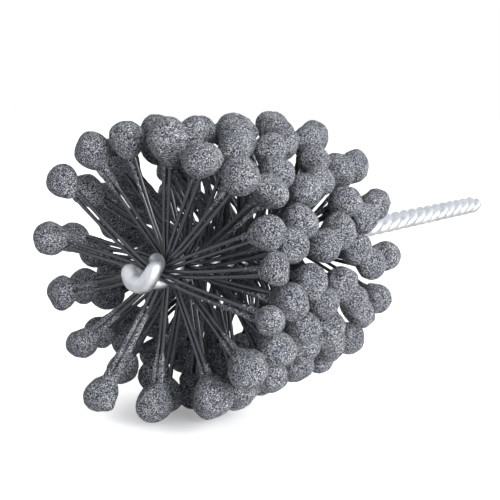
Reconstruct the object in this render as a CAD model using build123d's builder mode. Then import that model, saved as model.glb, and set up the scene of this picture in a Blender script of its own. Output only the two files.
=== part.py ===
from build123d import *
import math
import os
import random

# Flexible ball hone on a twisted wire stem.
# The stem lies along X. The origin is the drive end of the shank, on the stem's axis,
# and the ball head is at the -X end. +Z is up. Millimetres.

# Overall sizes
overall_length = 203.2
head_diameter = 69.6

# Stem wire, folded in half at the tip and twisted on itself
wire_diameter = 3.05
shank_lay = 13.2
shank_strand_gap = 0.05
taper_length = 12.0
end_bevel = 0.6
fold_inner_depth = 4.9
fold_half_width = 3.5
fold_side_angle = 171.0
fold_side_from_tip = 2.55
fold_side_rise = 0.9
fold_dip = 2.0

# Nylon filaments, gripped two deep between the strands
filament_diameter = 0.92
seat_clearance = 0.06
layers_per_root = 2
root_step = 0.96
root_to_fold = 0.3
knee_radius = 6.5
knee_bend = 14.0
entry_spread = 1.7

# Ball rings
ring_count = 8
balls_per_ring = 16
ring_stagger = 0.418
front_ring_from_tip = 7.4
front_ring_gap = 7.6
ring_spacing = 7.25
front_ring_turn = 0.6
front_ring_shift = 9
ball_gap = 0.15

# Abrasive balls
ball_width = 7.4
ball_height = 7.7
collar_diameter = 3.8
ball_width_spread = 0.25
ball_height_spread = 0.3
socket_clearance = 0.04

# Irregularity of the rings behind the front one
turn_spread = 2.2
along_spread = 0.5
out_spread = 0.5
irregularity_seed = 11
settling_rounds = 60

# How far each ring stands round from the even stagger, in degrees
ring_turns = (0.0, -4.7, -2.3, -5.6, -2.0, -4.1, -8.6, -3.2)

# The front ring as the photograph shows it, ball by ball, going round the ring:
# how far each ball stands round from an even spacing in degrees,
# and along the stem and out from the ball circle in millimetres
front_ring_offsets = (
    (9.5, -0.7, 0.3), (14.6, -1.9, 0.8), (10.2, -0.5, 0.6), (5.8, 0.6, -0.5),
    (7.5, -0.5, -1.7), (7.5, -2.6, -1.9), (-0.1, 0.3, 0.2), (1.6, 0.5, 0.2),
    (-5.6, 0.2, 0.1), (-8.8, -0.2, -0.3), (-7.0, 0.1, -0.1), (-8.2, 0.3, -0.6),
    (1.9, 0.7, -0.6), (1.5, -3.6, 1.6), (5.4, 1.5, -0.5), (6.9, 1.6, -0.5),
)

# How many crossing pairs of filaments go into one named piece
pairs_per_ball_tuft = 2
pairs_per_filament_tuft = 4
tuft_letters = "abcdefgh"

# Worked out from the sizes above
pairs_per_ring = balls_per_ring // 2
ball_spacing = 360 / balls_per_ring
ring_twist = 180 + ring_stagger * ball_spacing
twist_per_root = ring_twist / pairs_per_ring
head_lay = 360 * root_step / twist_per_root
ball_circle_radius = (head_diameter - ball_height) / 2
wire_radius = wire_diameter / 2
layer_pitch = filament_diameter + seat_clearance
head_strand_gap = layers_per_root * layer_pitch + seat_clearance
head_strand_radius = (wire_diameter + head_strand_gap) / 2
shank_strand_radius = (wire_diameter + shank_strand_gap) / 2
fold_from_tip = wire_diameter + fold_inner_depth - wire_radius
first_root_from_tip = fold_from_tip + root_to_fold
root_count = ring_count * pairs_per_ring
last_root_from_tip = first_root_from_tip + (root_count - 1) * root_step
taper_start_from_tip = last_root_from_tip + filament_diameter
front_ring_angle = front_ring_turn + ball_spacing * (front_ring_shift - (pairs_per_ring - 1) / 2)


def place(from_tip, radius, angle):
    """A point at a distance behind the tip, a radius from the axis and an angle round it."""
    turn = math.radians(angle)
    return Vector(from_tip - overall_length, radius * math.cos(turn), radius * math.sin(turn))


def root_angle(root):
    """The direction of the filaments at a root, which turns with the strands."""
    return front_ring_angle - twist_per_root * (root - (pairs_per_ring - 1) / 2)


def strand_angle(from_tip):
    """The angle of the first strand. The lay shortens evenly along the taper."""
    start = root_angle(0) - 90
    head_rate = 360 / head_lay
    shank_rate = 360 / shank_lay
    along_head = min(from_tip, taper_start_from_tip) - first_root_from_tip
    along_taper = min(max(from_tip - taper_start_from_tip, 0), taper_length)
    along_shank = max(from_tip - taper_start_from_tip - taper_length, 0)
    middle_rate = head_rate + (shank_rate - head_rate) * along_taper / taper_length / 2
    return start - head_rate * along_head - middle_rate * along_taper - shank_rate * along_shank


def strand_direction(from_tip, radius, lay, phase):
    """The way a strand runs, pointing towards the shank."""
    turn = math.radians(strand_angle(from_tip) + phase)
    rate = 2 * math.pi / lay
    return Vector(1, radius * rate * math.sin(turn), -radius * rate * math.cos(turn)).normalized()


def strand_helix(start, end, radius, lay, phase):
    """A left-hand helix about the stem's axis."""
    line = Helix(
        pitch=lay,
        height=end - start,
        radius=radius,
        lefthand=True,
        center=(start - overall_length, 0, 0),
        direction=(1, 0, 0),
        mode=Mode.PRIVATE,
    )
    return line.rotate(Axis.X, strand_angle(start) + phase - 90)


def strand_taper(phase, steps=6):
    """The stretch where the strands close up behind the last filaments."""
    points = []
    for step in range(steps + 1):
        share = step / steps
        closing = share * share * (3 - 2 * share)
        radius = head_strand_radius + (shank_strand_radius - head_strand_radius) * closing
        from_tip = taper_start_from_tip + taper_length * share
        points.append(place(from_tip, radius, strand_angle(from_tip) + phase))
    start_way = strand_direction(taper_start_from_tip, head_strand_radius, head_lay, phase)
    end_way = strand_direction(
        taper_start_from_tip + taper_length, shank_strand_radius, shank_lay, phase
    )
    return Spline(*points, tangents=(start_way, end_way), mode=Mode.PRIVATE)


def strand_edges(phase):
    """One strand from the fold to a little past the cut end."""
    taper_end = taper_start_from_tip + taper_length
    past_end = overall_length + wire_diameter
    return [
        strand_helix(fold_from_tip, taper_start_from_tip, head_strand_radius, head_lay, phase),
        strand_taper(phase),
        strand_helix(taper_end, past_end, shank_strand_radius, shank_lay, phase),
    ]


def fold_path():
    """The eye at the tip, bent down and wider than the strands, that joins the two of them."""
    rise = Vector(0, 0, fold_side_rise)
    start = place(fold_from_tip, head_strand_radius, strand_angle(fold_from_tip))
    end = place(fold_from_tip, head_strand_radius, strand_angle(fold_from_tip) + 180)
    start_way = strand_direction(fold_from_tip, head_strand_radius, head_lay, 0)
    end_way = strand_direction(fold_from_tip, head_strand_radius, head_lay, 180)
    return Spline(
        start,
        place(fold_side_from_tip, fold_half_width, fold_side_angle) + rise,
        place(wire_radius, fold_dip, 270),
        place(fold_side_from_tip, fold_half_width, fold_side_angle + 180) + rise,
        end,
        tangents=(start_way * -1, end_way),
        mode=Mode.PRIVATE,
    )


def build_stem():
    """One wire: down a strand, round the fold and back along the other strand."""
    route = Wire(strand_edges(0) + [fold_path()] + strand_edges(180))
    stem_radius = shank_strand_radius + wire_radius
    with BuildPart() as stem:
        with BuildSketch(Plane(origin=route @ 0, z_dir=route % 0)):
            Circle(wire_radius)
        sweep(path=route)
        split(bisect_by=Plane.YZ, keep=Keep.BOTTOM)
        with BuildSketch(Plane.XY):
            with BuildLine():
                Polyline(
                    (wire_radius, stem_radius - end_bevel - wire_radius),
                    (-end_bevel - wire_radius, stem_radius + wire_radius),
                    (wire_radius, stem_radius + wire_radius),
                    close=True,
                )
            make_face()
        revolve(axis=Axis.X, mode=Mode.SUBTRACT)
    stem.part.label = "stem_wire"
    return stem.part


def ring_from_tip(ring):
    """How far a ring of balls stands behind the tip."""
    if ring == 0:
        return front_ring_from_tip
    return front_ring_from_tip + front_ring_gap + ring_spacing * (ring - 1)


def ball_spot(ring, position, dice):
    """Where a ball stands before settling: distance from the tip, angle and radius."""
    if ring == 0:
        turn, along, out = front_ring_offsets[position % len(front_ring_offsets)]
    else:
        turn = ring_turns[ring % len(ring_turns)] + dice.uniform(-turn_spread, turn_spread)
        along = dice.uniform(-along_spread, along_spread)
        out = dice.uniform(-out_spread, out_spread)
    angle = front_ring_turn + ball_spacing * position - ring_twist * ring + turn
    return [ring_from_tip(ring) + along, angle, ball_circle_radius + out]


def settle(rings):
    """Balls behind the front ring that would touch are moved apart over the ball circle."""
    reach = ball_width + ball_width_spread + ball_gap
    spots = [spot for ring in rings for spot in ring]
    fixed = len(rings[0])
    for _ in range(settling_rounds):
        for first in range(len(spots)):
            for second in range(max(first + 1, fixed), len(spots)):
                along = spots[second][0] - spots[first][0]
                if abs(along) > reach:
                    continue
                turn = (spots[second][1] - spots[first][1] + 180) % 360 - 180
                sideways = math.radians(turn) * ball_circle_radius
                apart = math.hypot(along, sideways)
                if apart > reach:
                    continue
                share = (reach - apart) / apart
                moved = [second] if first < fixed else [first, second]
                for index in moved:
                    push = share / len(moved) * (1 if index == second else -1)
                    spots[index][0] += along * push
                    spots[index][1] += turn * push


def ball_centres(dice):
    """The middle of every ball, ring by ring."""
    rings = []
    for ring in range(ring_count):
        rings.append([ball_spot(ring, position, dice) for position in range(balls_per_ring)])
    settle(rings)
    return [[place(spot[0], spot[2], spot[1]) for spot in ring] for ring in rings]


def pair_position(pair, end):
    """Which ball of a ring sits on one end of a crossing pair of filaments."""
    return (front_ring_shift - pair + end * pairs_per_ring) % balls_per_ring


def filament_points(root, layer, centres):
    """The route of one filament: into a ball, through the strands and into the other ball."""
    across = root_angle(root)
    from_tip = first_root_from_tip + root * root_step
    side = (layer - (layers_per_root - 1) / 2)
    sideways = place(overall_length, side * layer_pitch, across - 90)
    knees = []
    for end in (0, 1):
        knees.append(place(from_tip, knee_radius, across + 180 * end) + sideways)
    points = []
    for end in (0, 1):
        inward = (centres[end] - knees[end]).normalized()
        stem_way = Vector(1, 0, 0)
        spread_way = stem_way.cross(inward).normalized()
        if spread_way.dot(sideways) * side < 0:
            spread_way = spread_way * -1
        entry = centres[end] + spread_way * side * entry_spread
        points.append((knees[end], entry))
    (knee_a, entry_a), (knee_b, entry_b) = points
    return [entry_a, knee_a, knee_b, entry_b]


def build_filament(points):
    with BuildPart() as filament:
        with BuildLine() as route:
            FilletPolyline(*points, radius=knee_bend)
        with BuildSketch(Plane(origin=route.line @ 0, z_dir=route.line % 0)):
            Circle(filament_diameter / 2)
        sweep()
    return filament.part


def build_ball(centre, filaments, width, height):
    """A pear-shaped bead of bonded grit with a blind socket for each filament."""
    outward = Vector(0, 0, 0)
    for entry, knee in filaments:
        outward = outward + (entry - knee).normalized()
    socket_line = filaments[-1][0] - filaments[0][0]
    seam_way = outward.cross(socket_line).normalized()
    upright = Plane(origin=centre, x_dir=seam_way, z_dir=seam_way.cross(outward))
    low = -height / 2
    high = height / 2
    with BuildPart() as bead:
        with BuildSketch(upright):
            with BuildLine():
                Spline(
                    (0, high),
                    (width / 2, 0.03 * height),
                    (collar_diameter / 2, low),
                    tangents=((1, 0), (-0.75, -1)),
                    tangent_scalars=(1.0, 0.8),
                )
                Line((collar_diameter / 2, low), (0, low))
                Line((0, low), (0, high))
            make_face()
        revolve(axis=Axis(centre, upright.y_dir))
        for entry, knee in filaments:
            way = (entry - knee).normalized()
            mouth = Plane(origin=entry + way * socket_clearance, z_dir=way * -1)
            with BuildSketch(mouth):
                Circle(filament_diameter / 2 + socket_clearance)
            extrude(amount=height, mode=Mode.SUBTRACT)
    return bead.part


def build_ring(ring, ring_centres, dice):
    """The filaments and balls of one ring, one crossing pair after another."""
    pairs = []
    for pair in range(pairs_per_ring):
        root = ring * pairs_per_ring + pair
        centres = [ring_centres[pair_position(pair, end)] for end in (0, 1)]
        routes = [filament_points(root, layer, centres) for layer in range(layers_per_root)]
        filaments = [build_filament(route) for route in routes]
        balls = []
        for end, centre in enumerate(centres):
            ends = [(route[-end], route[1 + end]) for route in routes]
            width = ball_width + dice.uniform(-ball_width_spread, ball_width_spread)
            height = ball_height + dice.uniform(-ball_height_spread, ball_height_spread)
            balls.append(build_ball(centre, ends, width, height))
        pairs.append((filaments, balls))
    return pairs


def save_tufts(pairs, member, pairs_per_tuft, name):
    """Each tuft of pairs goes into a file of its own, under a letter."""
    for first in range(0, len(pairs), pairs_per_tuft):
        tuft = pairs[first:first + pairs_per_tuft]
        solids = [piece for pair in tuft for piece in pair[member]]
        label = name + "_" + tuft_letters[first // pairs_per_tuft]
        export_step(Compound(label=label, children=solids), "parts/" + label + ".step")


os.makedirs("parts", exist_ok=True)
export_step(build_stem(), "parts/stem_wire.step")

dice = random.Random(irregularity_seed)
centres = ball_centres(dice)
for ring in range(ring_count):
    pairs = build_ring(ring, centres[ring], dice)
    ring_name = "ring_" + str(ring + 1)
    save_tufts(pairs, 0, pairs_per_filament_tuft, ring_name + "_filaments")
    save_tufts(pairs, 1, pairs_per_ball_tuft, ring_name + "_balls")
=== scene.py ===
import math
import random

import bmesh
import bpy
import numpy as np
from mathutils import Matrix, Vector


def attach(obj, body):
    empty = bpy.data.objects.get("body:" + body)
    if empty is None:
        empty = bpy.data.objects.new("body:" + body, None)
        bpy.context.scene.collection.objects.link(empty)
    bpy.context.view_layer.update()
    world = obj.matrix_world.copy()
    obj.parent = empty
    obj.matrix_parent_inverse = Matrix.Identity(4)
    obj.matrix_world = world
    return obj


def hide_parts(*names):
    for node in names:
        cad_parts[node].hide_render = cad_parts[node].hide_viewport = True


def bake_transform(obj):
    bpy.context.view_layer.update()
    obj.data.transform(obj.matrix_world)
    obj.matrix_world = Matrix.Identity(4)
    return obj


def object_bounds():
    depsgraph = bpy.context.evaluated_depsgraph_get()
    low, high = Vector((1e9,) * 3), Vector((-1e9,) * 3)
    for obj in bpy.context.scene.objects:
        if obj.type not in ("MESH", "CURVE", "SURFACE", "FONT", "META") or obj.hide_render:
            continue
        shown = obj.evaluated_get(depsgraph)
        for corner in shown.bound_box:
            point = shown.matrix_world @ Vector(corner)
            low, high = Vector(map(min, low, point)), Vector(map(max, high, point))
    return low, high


# Flexible ball hone: lumpy grit beads on nylon filaments, on a folded and twisted steel wire.
# Metres, in the part's frame: the stem lies along X, the origin is the drive end of the shank,
# the ball head is at -X and +Z is up.

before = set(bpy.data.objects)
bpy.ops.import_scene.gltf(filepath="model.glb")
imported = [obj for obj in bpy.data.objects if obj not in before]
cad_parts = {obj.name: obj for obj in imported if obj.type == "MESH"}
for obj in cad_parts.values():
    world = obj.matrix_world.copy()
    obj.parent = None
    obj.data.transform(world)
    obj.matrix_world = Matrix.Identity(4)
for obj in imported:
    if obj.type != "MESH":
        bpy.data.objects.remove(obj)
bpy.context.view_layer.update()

MM = 0.001

# Sizes of the part, in millimetres
OVERALL_LENGTH = 203.2
HEAD_DIAMETER = 69.6
WIRE_DIAMETER = 3.05
SHANK_LAY = 13.2
SHANK_STRAND_GAP = 0.05
TAPER_LENGTH = 12.0
END_BEVEL = 0.6
FOLD_INNER_DEPTH = 4.9
FOLD_HALF_WIDTH = 3.5
FOLD_SIDE_ANGLE = 171.0
FOLD_SIDE_FROM_TIP = 2.55
FOLD_SIDE_RISE = 0.9
FOLD_LOW_POINT = 2.3
FOLD_LOW_TURN = 42.0
FILAMENT_DIAMETER = 0.92
SEAT_CLEARANCE = 0.06
LAYERS = 2
ROOT_STEP = 0.96
ROOT_TO_FOLD = 0.3
KNEE_RADIUS = 6.5
ENTRY_SPREAD = 1.7
RING_COUNT = 8
BALLS_PER_RING = 16
RING_STAGGER = 0.418
FRONT_RING_FROM_TIP = 7.4
FRONT_RING_GAP = 7.6
RING_SPACING = 7.25
FRONT_RING_TURN = 0.6
FRONT_RING_SHIFT = 9
BALL_GAP = 0.15
BALL_WIDTH = 7.4
BALL_HEIGHT = 7.7
BALL_WIDTH_SPREAD = 0.25
BALL_HEIGHT_SPREAD = 0.3
TURN_SPREAD = 2.2
ALONG_SPREAD = 0.5
OUT_SPREAD = 0.5
IRREGULARITY_SEED = 11
SETTLING_ROUNDS = 60
RING_TURNS = (0.0, -4.7, -2.3, -5.6, -2.0, -4.1, -8.6, -3.2)
PAIRS_PER_BALL_TUFT = 2
PAIRS_PER_FILAMENT_TUFT = 4
PAIRS_PER_HALF_TUFT = 2
TUFT_NAMES = "abcd"

# The shape of a bead: how far it is drawn down, its widest share and how it narrows downwards
NECK_DEPTH = (0.5, 2.0)
NECK_POWER = 1.15
BEAD_WIDEST = 1.05
BEAD_NARROWING = (0.14, 0.12)
OVALS = (0.93, 1.07)

# Lumps on a bead: how many, the deepest and the highest as shares of its radius, and how wide
LUMPS = ((6, -0.17, 0.15, 0.52), (18, -0.1, 0.095, 0.25), (80, -0.028, 0.032, 0.1))
LUMP_LIMITS = (-0.2, 0.15)
GRAIN_HEIGHT = 0.03
BEAD_SEED = 100

# Beads that have grown together
BRIDGE_REACH = 9.3
BRIDGE_SHARE = 0.7
BRIDGE_OVERLAP = 0.06
BRIDGE_WIDTH = 0.45
BRIDGE_SEED = 77

# Filaments: bow, and the crust and drips of grit near the bead, by share of the length
# Each shape is the power by which its effect grows
BOW_SIDEWAYS = 0.35
BOW_ALONG = 0.3
BOW_SHAPE = 1.5
CRUST_BEGINS = (0.2, 0.5, 0.62, 0.68, 0.74, 0.8, 0.8, 0.84)
CRUST_FULL = 0.95
CRUST_SHAPE = 1.5
CRUST_AMOUNTS = (0.4, 0.85)
CRUST_THICKNESS = 0.26
BARE_SHARE = 0.97
DRIP_BEGINS = 0.7
DRIP_LENGTH = 0.18
DRIP_SHAPE = 2
DRIPS = (0.0, 0.0, 0.08, 0.12, 0.2, 0.3, 0.5)
DRIP_ROUGHNESS = 0.3
THICK_CRUST_RISE = 0.16
THICK_CRUST_AMOUNT = 0.85
THICK_DRIP_FULL = 0.9
THICK_DRIP_SHAPE = 1.6
FILAMENT_SIDES = 12
FILAMENT_STEPS = 46
FILAMENT_SEED = 300

# The wire's mesh, its swelling round the fold, and the cuts that give its end bevel its rows
FOLD_SWELL = 0.32
SWELL_SHAPE = 1.5
STRAND_STEPS = 420
FOLD_LEAD_STEPS = (6, 3, 0)
FOLD_STEPS = 12
STEM_SIDES = 28
PAST_END = 1.0
BEVEL_CUTS = (0.15, 0.35, END_BEVEL)

# Looks: scales are in cells or waves a metre, and reliefs are (strength, depth in metres)
GRAIN_SCALE = 6800
DUST_SCALE = 11500
DUST_SHARE = 0.85
TONE_SCALE = 260
GRAIN_RELIEF = (0.7, 0.00022)
GRAIN_SHINE = 0.6
NYLON_IOR = 1.75
STREAK_SCALE = 700
STREAK_RELIEF = (0.07, 0.00005)
PATCH_SCALE = 1500
CLOUD_SCALE = 420
WIRE_GRAIN_SCALE = 3800
WIRE_RELIEF = (0.22, 0.00006)

# The front ring ball by ball: turn in degrees, along and out in millimetres
FRONT_RING_OFFSETS = (
    (9.5, -0.7, 0.3), (14.6, -1.9, 0.8), (10.2, -0.5, 0.6), (5.8, 0.6, -0.5),
    (7.5, -0.5, -1.7), (7.5, -2.6, -1.9), (-0.1, 0.3, 0.2), (1.6, 0.5, 0.2),
    (-5.6, 0.2, 0.1), (-8.8, -0.2, -0.3), (-7.0, 0.1, -0.1), (-8.2, 0.3, -0.6),
    (1.9, 0.7, -0.6), (1.5, -3.6, 1.6), (5.4, 1.5, -0.5), (6.9, 1.6, -0.5),
)

# The size of each bead in the front ring, as a share of the usual size
FRONT_BALL_SHARES = (
    0.99, 0.94, 1.0, 1.02, 1.12, 1.06, 1.05, 0.88, 0.85, 0.83, 1.06, 1.09, 1.11, 0.97, 0.96, 0.98,
)

# Front ring filaments that the dip left thick, by ball: where the crust begins and how far it swells
THICK_CRUSTS = {
    2: (0.72, 0.2), 10: (0.7, 0.15), 11: (0.76, 0.25), 12: (0.66, 0.42), 13: (0.4, 0.45),
    14: (0.6, 0.3), 15: (0.66, 0.2),
}

PAIRS_PER_RING = BALLS_PER_RING // 2
BALL_SPACING = 360 / BALLS_PER_RING
RING_TWIST = 180 + RING_STAGGER * BALL_SPACING
TWIST_PER_ROOT = RING_TWIST / PAIRS_PER_RING
HEAD_LAY = 360 * ROOT_STEP / TWIST_PER_ROOT
BALL_CIRCLE = (HEAD_DIAMETER - BALL_HEIGHT) / 2
WIRE_RADIUS = WIRE_DIAMETER / 2
LAYER_PITCH = FILAMENT_DIAMETER + SEAT_CLEARANCE
HEAD_STRAND_RADIUS = (WIRE_DIAMETER + LAYERS * LAYER_PITCH + SEAT_CLEARANCE) / 2
SHANK_STRAND_RADIUS = (WIRE_DIAMETER + SHANK_STRAND_GAP) / 2
FOLD_FROM_TIP = WIRE_DIAMETER + FOLD_INNER_DEPTH - WIRE_RADIUS
FIRST_ROOT = FOLD_FROM_TIP + ROOT_TO_FOLD
ROOT_COUNT = RING_COUNT * PAIRS_PER_RING
TAPER_START = FIRST_ROOT + (ROOT_COUNT - 1) * ROOT_STEP + FILAMENT_DIAMETER
FRONT_ANGLE = FRONT_RING_TURN + BALL_SPACING * (FRONT_RING_SHIFT - (PAIRS_PER_RING - 1) / 2)

# The camera, from the perspective of the photograph
CAMERA_PLACE = (-0.3737, -0.1388, 0.0352)
CAMERA_FORWARD = (0.834, 0.535, -0.134)
CAMERA_LENS = 74.16
SENSOR_WIDTH = 36.0
NEAR_CLIP = 0.01

# Lamps: place, size and power, all aimed at the middle of the head
HEAD_MIDDLE = (-0.17, 0.0, 0.0)
LAMPS = {
    "key": ((-0.32, -1.0, 0.45), (0.5, 0.5), 7.6),
    "strip": ((-0.64, -0.88, 0.165), (0.36, 0.4), 5.2),
    "side": ((0.45, -0.9, 0.45), (0.5, 0.5), 1.2),
    "fill": ((-0.95, 0.3, 0.25), (0.5, 0.5), 0.2),
}

# The floor glows white to the camera and, more faintly, in reflections. Close under the head the glow is
# turned down, a painted shade round the spot where the head rests, and the head's real shadow also shows
# there
FLOOR_WIDTH = 12
# Painted shade under the head: the spot, how far the dimmed glow reaches, and the glow left at the spot
PAINTED_SHADE_MIDDLE = (-0.185, 0.0, 0.0)
PAINTED_SHADE_REACH = 0.034
PAINTED_SHADE_GLOW = 0.28
FLOOR_IN_MIRRORS = 0.25
SKY_LIGHT = 0.14
SKY_IN_MIRRORS = 0.9


def place(from_tip, radius, angle):
    turn = math.radians(angle)
    return Vector((from_tip - OVERALL_LENGTH, radius * math.cos(turn), radius * math.sin(turn)))


def root_angle(root):
    return FRONT_ANGLE - TWIST_PER_ROOT * (root - (PAIRS_PER_RING - 1) / 2)


def strand_angle(from_tip):
    start = root_angle(0) - 90
    head_rate = 360 / HEAD_LAY
    shank_rate = 360 / SHANK_LAY
    along_head = min(from_tip, TAPER_START) - FIRST_ROOT
    along_taper = min(max(from_tip - TAPER_START, 0), TAPER_LENGTH)
    along_shank = max(from_tip - TAPER_START - TAPER_LENGTH, 0)
    middle_rate = head_rate + (shank_rate - head_rate) * along_taper / TAPER_LENGTH / 2
    return start - head_rate * along_head - middle_rate * along_taper - shank_rate * along_shank


def ring_from_tip(ring):
    if ring == 0:
        return FRONT_RING_FROM_TIP
    return FRONT_RING_FROM_TIP + FRONT_RING_GAP + RING_SPACING * (ring - 1)


def ball_spot(ring, position, dice):
    if ring == 0:
        turn, along, out = FRONT_RING_OFFSETS[position]
    else:
        turn = RING_TURNS[ring] + dice.uniform(-TURN_SPREAD, TURN_SPREAD)
        along = dice.uniform(-ALONG_SPREAD, ALONG_SPREAD)
        out = dice.uniform(-OUT_SPREAD, OUT_SPREAD)
    angle = FRONT_RING_TURN + BALL_SPACING * position - RING_TWIST * ring + turn
    return [ring_from_tip(ring) + along, angle, BALL_CIRCLE + out]


def settle(rings):
    """Balls behind the front ring that would touch are moved apart over the ball circle."""
    reach = BALL_WIDTH + BALL_WIDTH_SPREAD + BALL_GAP
    spots = [spot for ring in rings for spot in ring]
    fixed = len(rings[0])
    for _ in range(SETTLING_ROUNDS):
        for first in range(len(spots)):
            for second in range(max(first + 1, fixed), len(spots)):
                along = spots[second][0] - spots[first][0]
                if abs(along) > reach:
                    continue
                turn = (spots[second][1] - spots[first][1] + 180) % 360 - 180
                sideways = math.radians(turn) * BALL_CIRCLE
                apart = math.hypot(along, sideways)
                if apart > reach:
                    continue
                share = (reach - apart) / apart
                moved = [second] if first < fixed else [first, second]
                for index in moved:
                    push = share / len(moved) * (1 if index == second else -1)
                    spots[index][0] += along * push
                    spots[index][1] += turn * push


def ball_centres(dice):
    rings = []
    for ring in range(RING_COUNT):
        rings.append([ball_spot(ring, position, dice) for position in range(BALLS_PER_RING)])
    settle(rings)
    return [[place(spot[0], spot[2], spot[1]) for spot in ring] for ring in rings]


def pair_position(pair, end):
    return (FRONT_RING_SHIFT - pair + end * PAIRS_PER_RING) % BALLS_PER_RING


def filament_points(root, layer, centres):
    across = root_angle(root)
    from_tip = FIRST_ROOT + root * ROOT_STEP
    side = layer - (LAYERS - 1) / 2
    sideways = place(OVERALL_LENGTH, side * LAYER_PITCH, across - 90)
    points = []
    for end in (0, 1):
        knee = place(from_tip, KNEE_RADIUS, across + 180 * end) + sideways
        inward = (centres[end] - knee).normalized()
        spread_way = Vector((1, 0, 0)).cross(inward).normalized()
        if spread_way.dot(sideways) * side < 0:
            spread_way = spread_way * -1
        points.append((knee, centres[end] + spread_way * side * ENTRY_SPREAD))
    (knee_a, entry_a), (knee_b, entry_b) = points
    return [entry_a, knee_a, knee_b, entry_b]


def layout():
    """Every ring's pairs: the filament routes, and the balls as (centre, outward way, width, height)."""
    dice = random.Random(IRREGULARITY_SEED)
    all_centres = ball_centres(dice)
    rings = []
    for ring in range(RING_COUNT):
        pairs = []
        for pair in range(PAIRS_PER_RING):
            root = ring * PAIRS_PER_RING + pair
            centres = [all_centres[ring][pair_position(pair, end)] for end in (0, 1)]
            routes = [filament_points(root, layer, centres) for layer in range(LAYERS)]
            balls = []
            for end, centre in enumerate(centres):
                outward = Vector((0, 0, 0))
                for route in routes:
                    outward += (route[-end] - route[1 + end]).normalized()
                width = BALL_WIDTH + dice.uniform(-BALL_WIDTH_SPREAD, BALL_WIDTH_SPREAD)
                height = BALL_HEIGHT + dice.uniform(-BALL_HEIGHT_SPREAD, BALL_HEIGHT_SPREAD)
                if ring == 0:
                    width *= FRONT_BALL_SHARES[pair_position(pair, end)]
                    height *= FRONT_BALL_SHARES[pair_position(pair, end)]
                balls.append((centre, outward.normalized(), width, height))
            pairs.append((routes, balls))
        rings.append(pairs)
    return rings


def new_piece(name, points, faces, material, smooth=True):
    """A mesh object from points in millimetres."""
    mesh = bpy.data.meshes.new(name)
    mesh.from_pydata([tuple(p) for p in np.asarray(points) * MM], [], faces)
    mesh.polygons.foreach_set("use_smooth", [smooth] * len(mesh.polygons))
    mesh.materials.append(material)
    mesh.update()
    piece = bpy.data.objects.new(name, mesh)
    bpy.context.scene.collection.objects.link(piece)
    return piece


def unit_ball(subdivisions):
    """The points and faces of a finely divided unit ball."""
    work = bmesh.new()
    bmesh.ops.create_icosphere(work, subdivisions=subdivisions, radius=1.0)
    points = np.array([v.co for v in work.verts])
    faces = [[v.index for v in f.verts] for f in work.faces]
    work.free()
    return points / np.linalg.norm(points, axis=1)[:, None], faces


def swells(unit, dice, count, low, high, spread):
    """Soft round lumps and hollows scattered over a unit ball, as shares of its radius."""
    total = np.zeros(len(unit))
    for _ in range(count):
        way = np.array([dice.gauss(0, 1) for _ in range(3)])
        way /= np.linalg.norm(way)
        total += dice.uniform(low, high) * np.exp(-(1 - unit @ way) / spread ** 2)
    return total


def lumpy_ball(unit, ball, neighbours, dice):
    """A bead of grit: drawn down round its filaments, lumpy, and grown on to its neighbours."""
    centre, outward, width, height = ball
    up = np.array(outward)
    side = np.cross(up, np.array((1.0, 0.0, 0.0)))
    side /= np.linalg.norm(side)
    other = np.cross(side, up)
    lift = unit[:, 2]
    low = np.clip(-lift, 0, 1)
    neck = dice.uniform(*NECK_DEPTH)
    axial = np.where(lift > 0, height / 2 * lift, -(height / 2 + neck) * low ** NECK_POWER)
    slow, late = BEAD_NARROWING
    radial = width / 2 * (BEAD_WIDEST - slow * low ** 2 - late * low ** 4)
    oval = dice.uniform(*OVALS)
    local = np.stack([unit[:, 0] * radial * oval, unit[:, 1] * radial / oval, axial], axis=1)
    swell = sum(swells(unit, dice, *lumps) for lumps in LUMPS)
    swell = np.clip(swell, *LUMP_LIMITS)
    local *= (1 + swell)[:, None]
    grain = np.array([dice.uniform(-1, 1) for _ in range(len(unit))])
    local += unit * (grain * GRAIN_HEIGHT)[:, None]
    points = local[:, :1] * side + local[:, 1:2] * other + local[:, 2:] * up
    ways = points / np.linalg.norm(points, axis=1)[:, None]
    for reach in neighbours:
        distance = np.linalg.norm(reach)
        way = reach / distance
        near = np.exp(-(1 - ways @ way) / BRIDGE_WIDTH ** 2)
        out = points @ way
        target = distance / 2 + BRIDGE_OVERLAP
        top = out[np.argmax(ways @ way)]
        if target > top:
            points += np.outer(near * (target - top), way)
    return points + np.array(centre)


def tube(line, radii, sides):
    """The points and faces of a closed tube that follows line, without twisting."""
    line = np.asarray(line, float)
    ways = np.gradient(line, axis=0)
    ways /= np.linalg.norm(ways, axis=1)[:, None]
    helper = np.array((1.0, 0.0, 0.0)) if abs(ways[0][0]) < 0.9 else np.array((0.0, 0.0, 1.0))
    normal = np.cross(ways[0], helper)
    normal /= np.linalg.norm(normal)
    angles = np.linspace(0, 2 * math.pi, sides, endpoint=False)
    rows = []
    for i, way in enumerate(ways):
        normal = normal - way * np.dot(normal, way)
        normal /= np.linalg.norm(normal)
        binormal = np.cross(way, normal)
        radius = np.asarray(radii[i])
        ring = np.outer(np.cos(angles), normal) + np.outer(np.sin(angles), binormal)
        rows.append(line[i] + ring * (radius[:, None] if radius.ndim else radius))
    points = np.concatenate(rows + [line[:1], line[-1:]])
    count = len(line)
    faces = []
    for i in range(count - 1):
        for k in range(sides):
            n = (k + 1) % sides
            faces.append((i * sides + k, i * sides + n, (i + 1) * sides + n, (i + 1) * sides + k))
    first = count * sides
    for k in range(sides):
        n = (k + 1) % sides
        faces.append((first, n, k))
        faces.append((first + 1, (count - 1) * sides + k, (count - 1) * sides + n))
    return points, faces


def bezier(a, b, c, share):
    return a * (1 - share) ** 2 + b * (2 * share * (1 - share)) + c * share ** 2


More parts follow.
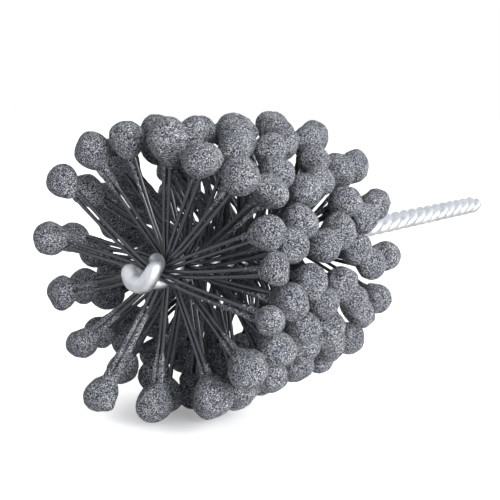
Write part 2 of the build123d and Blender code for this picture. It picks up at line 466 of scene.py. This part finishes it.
def new_material(name):
    made = bpy.data.materials.new(name)
    made.use_nodes = True
    nodes = made.node_tree.nodes
    return made, nodes, made.node_tree.links, nodes["Principled BSDF"]


def add(nodes, kind, **values):
    node = nodes.new(kind)
    for key, value in values.items():
        setattr(node, key, value)
    return node


def grey(level):
    return (level, level, level)


def toned(nodes, links, source, stops):
    """The colours that a ramp with these stops gives a value."""
    node = nodes.new("ShaderNodeValToRGB")
    elements = node.color_ramp.elements
    while len(elements) > len(stops):
        elements.remove(elements[-1])
    while len(elements) < len(stops):
        elements.new(0.5)
    for element, (position, colour) in zip(elements, stops):
        element.position = position
        element.color = (*colour, 1.0)
    links.new(source, node.inputs["Fac"])
    return node.outputs["Color"]


def noise(nodes, links, where, scale, detail):
    node = add(nodes, "ShaderNodeTexNoise")
    node.inputs["Scale"].default_value = scale
    node.inputs["Detail"].default_value = detail
    links.new(where.outputs["Object"], node.inputs["Vector"])
    return node.outputs["Fac"]


def cells(nodes, links, where, scale):
    """Small facets: how far a point is from the middle of its facet, and the facet's own numbers."""
    node = add(nodes, "ShaderNodeTexVoronoi")
    node.inputs["Scale"].default_value = scale
    links.new(where.outputs["Object"], node.inputs["Vector"])
    split = add(nodes, "ShaderNodeSeparateColor")
    links.new(node.outputs["Color"], split.inputs["Color"])
    return node.outputs["Distance"], split.outputs


def multiplied(nodes, links, first, second, factor):
    """Two colours multiplied: inputs 6 and 7 and output 2 are the colour sockets of a mix node."""
    node = add(nodes, "ShaderNodeMix", data_type="RGBA", blend_type="MULTIPLY")
    node.inputs["Factor"].default_value = factor
    links.new(first, node.inputs[6])
    links.new(second, node.inputs[7])
    return node.outputs[2]


def summed(nodes, links, first, second):
    node = add(nodes, "ShaderNodeMath", operation="ADD")
    links.new(first, node.inputs[0])
    links.new(second, node.inputs[1])
    return node.outputs[0]


def embossed(nodes, links, shader, height, strength, distance):
    bump = add(nodes, "ShaderNodeBump")
    bump.inputs["Strength"].default_value = strength
    bump.inputs["Distance"].default_value = distance
    links.new(height, bump.inputs["Height"])
    links.new(bump.outputs["Normal"], shader.inputs["Normal"])


def grit_shader(nodes, links, where, shader):
    """Bonded abrasive: dark and pale grains, each with its own facet, and slow changes of tone."""
    distance, grain = cells(nodes, links, where, GRAIN_SCALE)
    dust = cells(nodes, links, where, DUST_SCALE)[1]
    grain_colour = toned(nodes, links, grain["Red"], [
        (0.0, (0.008, 0.010, 0.015)), (0.52, (0.035, 0.040, 0.054)),
        (0.65, (0.24, 0.252, 0.302)), (0.77, (0.8, 0.825, 0.885)), (1.0, (0.97, 0.975, 0.99)),
    ])
    dust_colour = toned(nodes, links, dust["Green"], [
        (0.0, (0.3, 0.31, 0.33)), (0.7, (1.0, 1.0, 1.0)), (1.0, (1.8, 1.8, 1.85)),
    ])
    slow_colour = toned(nodes, links, noise(nodes, links, where, TONE_SCALE, 4), [
        (0.3, (0.72, 0.74, 0.78)), (0.7, (1.15, 1.14, 1.12)),
    ])
    dusted = multiplied(nodes, links, grain_colour, dust_colour, DUST_SHARE)
    colour = multiplied(nodes, links, dusted, slow_colour, 1.0)
    links.new(colour, shader.inputs["Base Color"])
    rough = toned(nodes, links, grain["Blue"], [(0.0, grey(0.85)), (0.6, grey(0.6)), (1.0, grey(0.28))])
    links.new(rough, shader.inputs["Roughness"])
    embossed(nodes, links, shader, summed(nodes, links, distance, grain["Green"]), *GRAIN_RELIEF)
    shader.inputs["Specular IOR Level"].default_value = GRAIN_SHINE


def grit_material():
    made, nodes, links, bsdf = new_material("bonded_grit")
    grit_shader(nodes, links, add(nodes, "ShaderNodeTexCoord"), bsdf)
    return made


def nylon_material():
    """Black nylon with a gloss, and the crust of grit that the dip left near the beads."""
    made, nodes, links, bsdf = new_material("black_nylon")
    where = add(nodes, "ShaderNodeTexCoord")
    streak = noise(nodes, links, where, STREAK_SCALE, 5)
    shade = toned(nodes, links, streak, [
        (0.35, (0.024, 0.027, 0.036)), (0.62, (0.034, 0.037, 0.048)), (0.85, (0.06, 0.064, 0.078)),
    ])
    links.new(shade, bsdf.inputs["Base Color"])
    bsdf.inputs["IOR"].default_value = NYLON_IOR
    rough = toned(nodes, links, streak, [(0.3, grey(0.07)), (0.75, grey(0.17))])
    links.new(rough, bsdf.inputs["Roughness"])
    embossed(nodes, links, bsdf, streak, *STREAK_RELIEF)
    crust = add(nodes, "ShaderNodeBsdfPrincipled")
    grit_shader(nodes, links, where, crust)
    amount = add(nodes, "ShaderNodeAttribute", attribute_name="crust")
    patches = noise(nodes, links, where, PATCH_SCALE, 3)
    level = summed(nodes, links, amount.outputs["Fac"], patches)
    edge = toned(nodes, links, level, [(0.88, grey(0)), (1.0, grey(1))])
    mix = add(nodes, "ShaderNodeMixShader")
    links.new(edge, mix.inputs["Fac"])
    links.new(bsdf.outputs["BSDF"], mix.inputs[1])
    links.new(crust.outputs["BSDF"], mix.inputs[2])
    links.new(mix.outputs["Shader"], nodes["Material Output"].inputs["Surface"])
    return made


def wire_material():
    """Bright zinc on drawn steel wire: satin, a little cloudy, with a fine grain."""
    made, nodes, links, bsdf = new_material("zinc_wire")
    bsdf.inputs["Metallic"].default_value = 1.0
    where = add(nodes, "ShaderNodeTexCoord")
    cloud = noise(nodes, links, where, CLOUD_SCALE, 6)
    colour = toned(nodes, links, cloud, [
        (0.25, (0.58, 0.59, 0.61)), (0.55, (0.75, 0.755, 0.77)), (0.8, (0.83, 0.835, 0.85)),
    ])
    links.new(colour, bsdf.inputs["Base Color"])
    rough = toned(nodes, links, cloud, [(0.3, grey(0.4)), (0.75, grey(0.54))])
    links.new(rough, bsdf.inputs["Roughness"])
    embossed(nodes, links, bsdf, noise(nodes, links, where, WIRE_GRAIN_SCALE, 3), *WIRE_RELIEF)
    return made


def bridges(rings):
    """Which balls have grown together with a neighbour, as the ways from each ball to them."""
    dice = random.Random(BRIDGE_SEED)
    balls = []
    for ring, pairs in enumerate(rings):
        for pair, (_, ends) in enumerate(pairs):
            for end, ball in enumerate(ends):
                balls.append(((ring, pair, end), np.array(ball[0])))
    ways = {key: [] for key, centre in balls}
    for first in range(len(balls)):
        for second in range(first + 1, len(balls)):
            reach = balls[second][1] - balls[first][1]
            if np.linalg.norm(reach) < BRIDGE_REACH and dice.random() < BRIDGE_SHARE:
                ways[balls[first][0]].append(reach)
                ways[balls[second][0]].append(-reach)
    return ways


def make_balls(rings, grit):
    unit, unit_faces = unit_ball(5)
    ways = bridges(rings)
    for ring, pairs in enumerate(rings):
        dice = random.Random(BEAD_SEED + ring)
        for first in range(0, PAIRS_PER_RING, PAIRS_PER_BALL_TUFT):
            tuft = TUFT_NAMES[first // PAIRS_PER_BALL_TUFT]
            points = []
            faces = []
            for pair in range(first, first + PAIRS_PER_BALL_TUFT):
                for end, ball in enumerate(pairs[pair][1]):
                    base = len(points) * len(unit)
                    points.append(lumpy_ball(unit, ball, ways[(ring, pair, end)], dice))
                    faces.extend([[base + k for k in face] for face in unit_faces])
            piece = new_piece(f"ring_{ring + 1}_grit_{tuft}", np.concatenate(points), faces, grit)
            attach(piece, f"ring_{ring + 1}")
            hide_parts(f"ring_{ring + 1}_balls_{tuft}")


def filament_line(route, end, dice):
    """The middle of one half of a filament, from the stem's axis into its ball, with a slight bow."""
    knee = np.array(route[1 + end])
    entry = np.array(route[-end])
    middle = (np.array(route[1]) + np.array(route[2])) / 2
    shares = np.linspace(0, 1, FILAMENT_STEPS)
    line = np.array([bezier(middle, knee, entry, s) for s in shares])
    sideways = np.cross(entry - middle, (1.0, 0.0, 0.0))
    sideways /= np.linalg.norm(sideways)
    bow = sideways * dice.uniform(-BOW_SIDEWAYS, BOW_SIDEWAYS)
    bow = bow + np.array((1.0, 0.0, 0.0)) * dice.uniform(-BOW_ALONG, BOW_ALONG)
    return line + np.outer(np.sin(math.pi * shares) ** BOW_SHAPE, bow), shares


def rising(shares, begin, length):
    """From nothing at begin to one after length, along a filament."""
    return np.clip((shares - begin) / length, 0, 1)


def make_half_tuft(name, ring, first, members, end, nylon, dice):
    """The filaments on one side of the stem, from two crossing pairs."""
    points = []
    faces = []
    crusts = []
    for offset, (routes, _) in enumerate(members):
        position = pair_position(first + offset, end)
        for route in routes:
            line, shares = filament_line(route, end, dice)
            begin = dice.choice(CRUST_BEGINS)
            crust = rising(shares, begin, CRUST_FULL - begin) ** CRUST_SHAPE * dice.uniform(*CRUST_AMOUNTS)
            drip = rising(shares, DRIP_BEGINS, DRIP_LENGTH) ** DRIP_SHAPE * dice.choice(DRIPS)
            if ring == 0 and position in THICK_CRUSTS:
                begin, thickest = THICK_CRUSTS[position]
                crust = rising(shares, begin, THICK_CRUST_RISE) * THICK_CRUST_AMOUNT
                drip = rising(shares, begin, THICK_DRIP_FULL - begin) ** THICK_DRIP_SHAPE * thickest
            radii = []
            for amount, swollen in zip(crust, drip):
                bumps = np.array([dice.uniform(-1, 1) for _ in range(FILAMENT_SIDES)])
                crusted = BARE_SHARE + amount * (CRUST_THICKNESS + CRUST_THICKNESS * bumps)
                drop = swollen * (1 + DRIP_ROUGHNESS * bumps)
                radii.append(FILAMENT_DIAMETER / 2 * crusted + drop)
            base = sum(len(part) for part in points)
            tube_points, tube_faces = tube(line, radii, FILAMENT_SIDES)
            points.append(tube_points)
            faces.extend([[base + k for k in face] for face in tube_faces])
            crusts.append(np.concatenate([np.repeat(crust, FILAMENT_SIDES), crust[:1], crust[-1:]]))
    piece = new_piece(name, np.concatenate(points), faces, nylon)
    values = piece.data.attributes.new("crust", "FLOAT", "POINT")
    values.data.foreach_set("value", np.concatenate(crusts).astype(np.float32))
    starts = [(np.array(r[1]) + np.array(r[2])) / 2 for routes, _ in members for r in routes]
    ends = [np.array(r[-end]) for routes, _ in members for r in routes]
    start = np.mean(starts, axis=0)
    way = np.mean(ends, axis=0) - start
    length = np.linalg.norm(way)
    way /= length
    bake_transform(piece)
    return piece


def make_filaments(rings, nylon):
    for ring, pairs in enumerate(rings):
        dice = random.Random(FILAMENT_SEED + ring)
        for first in range(0, PAIRS_PER_RING, PAIRS_PER_HALF_TUFT):
            tuft = TUFT_NAMES[first // PAIRS_PER_FILAMENT_TUFT]
            count = first % PAIRS_PER_FILAMENT_TUFT // PAIRS_PER_HALF_TUFT
            members = pairs[first:first + PAIRS_PER_HALF_TUFT]
            for end in (0, 1):
                name = f"ring_{ring + 1}_filaments_{tuft}{count * 2 + end + 1}"
                piece = make_half_tuft(name, ring, first, members, end, nylon, dice)
                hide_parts(f"ring_{ring + 1}_filaments_{tuft}")


def stem_line():
    """The middle of the wire: down one strand, round the fold and back up the other."""
    def radius_at(from_tip):
        share = min(max((from_tip - TAPER_START) / TAPER_LENGTH, 0), 1)
        closing = share * share * (3 - 2 * share)
        return HEAD_STRAND_RADIUS + (SHANK_STRAND_RADIUS - HEAD_STRAND_RADIUS) * closing

    def strand(phase):
        past = OVERALL_LENGTH + PAST_END
        found = []
        for k in range(STRAND_STEPS + 1):
            from_tip = FOLD_FROM_TIP + (past - FOLD_FROM_TIP) * k / STRAND_STEPS
            found.append(place(from_tip, radius_at(from_tip), strand_angle(from_tip) + phase))
        return found

    down = strand(0)
    up = strand(180)
    rise = Vector((0, 0, FOLD_SIDE_RISE))
    corners = [
        *[down[k] for k in FOLD_LEAD_STEPS],
        place(FOLD_SIDE_FROM_TIP, FOLD_HALF_WIDTH, FOLD_SIDE_ANGLE) + rise,
        place(WIRE_RADIUS, FOLD_LOW_POINT, 270 - FOLD_LOW_TURN),
        place(WIRE_RADIUS, FOLD_LOW_POINT, 270 + FOLD_LOW_TURN),
        place(FOLD_SIDE_FROM_TIP, FOLD_HALF_WIDTH, FOLD_SIDE_ANGLE + 180) + rise,
        *[up[k] for k in reversed(FOLD_LEAD_STEPS)],
    ]
    fold = []
    for k in range(2, len(corners) - 3):
        a, b, c, d = corners[k - 1], corners[k], corners[k + 1], corners[k + 2]
        first_gap = (b - a).length ** 0.5
        gap = (c - b).length ** 0.5
        last_gap = (d - c).length ** 0.5
        leave = ((b - a) / first_gap - (c - a) / (first_gap + gap) + (c - b) / gap) * gap
        arrive = ((c - b) / gap - (d - b) / (gap + last_gap) + (d - c) / last_gap) * gap
        for s in range(1, FOLD_STEPS + 1):
            t = s / FOLD_STEPS
            h1 = 2 * t ** 3 - 3 * t ** 2 + 1
            h2 = t ** 3 - 2 * t ** 2 + t
            h3 = -2 * t ** 3 + 3 * t ** 2
            h4 = t ** 3 - t ** 2
            fold.append(b * h1 + leave * h2 + c * h3 + arrive * h4)
    line = list(reversed(down)) + fold[:-1] + up
    radii = [WIRE_RADIUS] * len(line)
    for k in range(len(fold) - 1):
        radii[len(down) + k] *= 1 + FOLD_SWELL * math.sin(math.pi * (k + 1) / len(fold)) ** SWELL_SHAPE
    return [np.array(p) for p in line], radii


def make_stem(metal):
    line, radii = stem_line()
    points, faces = tube(line, radii, STEM_SIDES)
    work = bmesh.new()
    made = [work.verts.new(p) for p in points]
    for face in faces:
        work.faces.new([made[k] for k in face])
    for from_end in BEVEL_CUTS:
        geometry = list(work.verts) + list(work.edges) + list(work.faces)
        bmesh.ops.bisect_plane(work, geom=geometry, plane_co=(-from_end, 0, 0), plane_no=(1, 0, 0))
    geometry = list(work.verts) + list(work.edges) + list(work.faces)
    cut = bmesh.ops.bisect_plane(
        work, geom=geometry, plane_co=(0, 0, 0), plane_no=(1, 0, 0), clear_outer=True
    )
    rim = [g for g in cut["geom_cut"] if isinstance(g, bmesh.types.BMEdge)]
    bmesh.ops.edgeloop_fill(work, edges=rim)
    stem_radius = SHANK_STRAND_RADIUS + WIRE_RADIUS
    for vert in work.verts:
        if vert.co.x > -END_BEVEL:
            limit = stem_radius - (vert.co.x + END_BEVEL)
            distance = math.hypot(vert.co.y, vert.co.z)
            if distance > limit:
                vert.co.y *= limit / distance
                vert.co.z *= limit / distance
    work.normal_update()
    bmesh.ops.recalc_face_normals(work, faces=work.faces)
    mesh = bpy.data.meshes.new("stem")
    work.to_mesh(mesh)
    work.free()
    mesh.transform(Matrix.Scale(MM, 4))
    for polygon in mesh.polygons:
        polygon.use_smooth = len(polygon.vertices) <= 5
    mesh.materials.append(metal)
    piece = bpy.data.objects.new("stem", mesh)
    bpy.context.scene.collection.objects.link(piece)
    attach(piece, "stem")
    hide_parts("stem_wire")


def make_camera():
    forward = Vector(CAMERA_FORWARD).normalized()
    right = forward.cross(Vector((0, 0, 1))).normalized()
    up = right.cross(forward).normalized()
    turn = Matrix((right, up, -forward)).transposed().to_4x4()
    data = bpy.data.cameras.new("camera")
    data.sensor_width = SENSOR_WIDTH
    data.lens = CAMERA_LENS
    data.clip_start = NEAR_CLIP
    camera = bpy.data.objects.new("camera", data)
    camera.matrix_world = Matrix.Translation(Vector(CAMERA_PLACE)) @ turn
    bpy.context.scene.collection.objects.link(camera)
    bpy.context.scene.camera = camera


def add_lamp(name, spot, size, power):
    data = bpy.data.lights.new(name, "AREA")
    data.shape = "RECTANGLE"
    data.size, data.size_y = size
    data.energy = power
    lamp = bpy.data.objects.new(name, data)
    lamp.location = spot
    lamp.rotation_euler = (Vector(HEAD_MIDDLE) - Vector(spot)).to_track_quat("-Z", "Y").to_euler()
    bpy.context.scene.collection.objects.link(lamp)


def make_floor():
    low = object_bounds()[0]
    bpy.ops.mesh.primitive_plane_add(size=FLOOR_WIDTH, location=(0, 0, low[2]))
    floor = bpy.context.active_object
    floor.name = "floor"
    made, nodes, links, bsdf = new_material("white_floor")
    bsdf.inputs["Base Color"].default_value = (0.86, 0.865, 0.88, 1)
    bsdf.inputs["Roughness"].default_value = 0.7
    path = add(nodes, "ShaderNodeLightPath")
    mirrored = add(nodes, "ShaderNodeMath", operation="MULTIPLY")
    mirrored.inputs[1].default_value = FLOOR_IN_MIRRORS
    links.new(path.outputs["Is Glossy Ray"], mirrored.inputs[0])
    seen = add(nodes, "ShaderNodeMath", operation="MAXIMUM")
    links.new(path.outputs["Is Camera Ray"], seen.inputs[0])
    links.new(mirrored.outputs[0], seen.inputs[1])
    where = add(nodes, "ShaderNodeTexCoord")
    away = add(nodes, "ShaderNodeVectorMath", operation="DISTANCE")
    away.inputs[1].default_value = PAINTED_SHADE_MIDDLE
    links.new(where.outputs["Object"], away.inputs[0])
    # Painted shade: the floor's glow is turned down towards a spot under the head, so the floor is darker
    # there whatever the lamps do; the real shadow adds to it
    level = add(nodes, "ShaderNodeMapRange", interpolation_type="SMOOTHSTEP")
    level.inputs["From Min"].default_value = 0.0
    level.inputs["From Max"].default_value = PAINTED_SHADE_REACH
    level.inputs["To Min"].default_value = PAINTED_SHADE_GLOW
    level.inputs["To Max"].default_value = 1.0
    links.new(away.outputs["Value"], level.inputs["Value"])
    gain = add(nodes, "ShaderNodeMath", operation="MULTIPLY")
    links.new(seen.outputs[0], gain.inputs[0])
    links.new(level.outputs["Result"], gain.inputs[1])
    glow = add(nodes, "ShaderNodeEmission")
    glow.inputs["Color"].default_value = (1, 1, 1, 1)
    links.new(gain.outputs[0], glow.inputs["Strength"])
    both = add(nodes, "ShaderNodeAddShader")
    links.new(bsdf.outputs["BSDF"], both.inputs[0])
    links.new(glow.outputs["Emission"], both.inputs[1])
    links.new(both.outputs["Shader"], nodes["Material Output"].inputs["Surface"])
    floor.data.materials.append(made)


def make_world():
    world = bpy.data.worlds.new("studio")
    world.use_nodes = True
    bpy.context.scene.world = world
    nodes = world.node_tree.nodes
    links = world.node_tree.links
    sky = nodes["Background"]
    sky.inputs["Color"].default_value = (1, 1, 1, 1)
    sky.inputs["Strength"].default_value = SKY_LIGHT
    mirrored = add(nodes, "ShaderNodeBackground")
    mirrored.inputs["Color"].default_value = (0.91, 0.945, 1, 1)
    mirrored.inputs["Strength"].default_value = SKY_IN_MIRRORS
    bright = add(nodes, "ShaderNodeBackground")
    bright.inputs["Color"].default_value = (1, 1, 1, 1)
    bright.inputs["Strength"].default_value = 1.0
    path = add(nodes, "ShaderNodeLightPath")
    reflected = add(nodes, "ShaderNodeMixShader")
    links.new(path.outputs["Is Glossy Ray"], reflected.inputs["Fac"])
    links.new(sky.outputs["Background"], reflected.inputs[1])
    links.new(mirrored.outputs["Background"], reflected.inputs[2])
    mix = add(nodes, "ShaderNodeMixShader")
    links.new(path.outputs["Is Camera Ray"], mix.inputs["Fac"])
    links.new(reflected.outputs["Shader"], mix.inputs[1])
    links.new(bright.outputs["Background"], mix.inputs[2])
    links.new(mix.outputs["Shader"], nodes["World Output"].inputs["Surface"])


make_camera()
rings = layout()
make_balls(rings, grit_material())
make_filaments(rings, nylon_material())
make_stem(wire_material())
make_floor()
make_world()
for name, (spot, size, power) in LAMPS.items():
    add_lamp(name, spot, size, power)
bpy.context.scene.view_settings.view_transform = "Standard"
